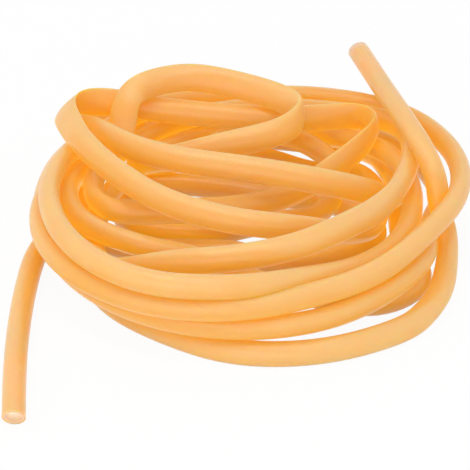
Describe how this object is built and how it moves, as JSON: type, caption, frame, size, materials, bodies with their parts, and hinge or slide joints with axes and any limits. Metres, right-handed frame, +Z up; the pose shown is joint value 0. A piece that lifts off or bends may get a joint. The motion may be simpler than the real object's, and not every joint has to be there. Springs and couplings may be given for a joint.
{
  "type": "rubber tubing coil",
  "caption": "Soft amber rubber tube with a plain round bore, laid in a loose coil with folded turns on top and its cut ends free.",
  "frame": {"origin": "on the surface that the coil lies on, under the middle of its bounding box", "axes": "+Z up from that surface, +Y from the near end, which lies along -Y, towards the far end at the back, +X to the right"},
  "size_m": [0.2064, 0.254, 0.0568],
  "materials": {
    "rubber": "satin, slightly translucent amber"
  },
  "bodies": {
    "root": {"tubing": "rubber"}
  },
  "joints": []
}
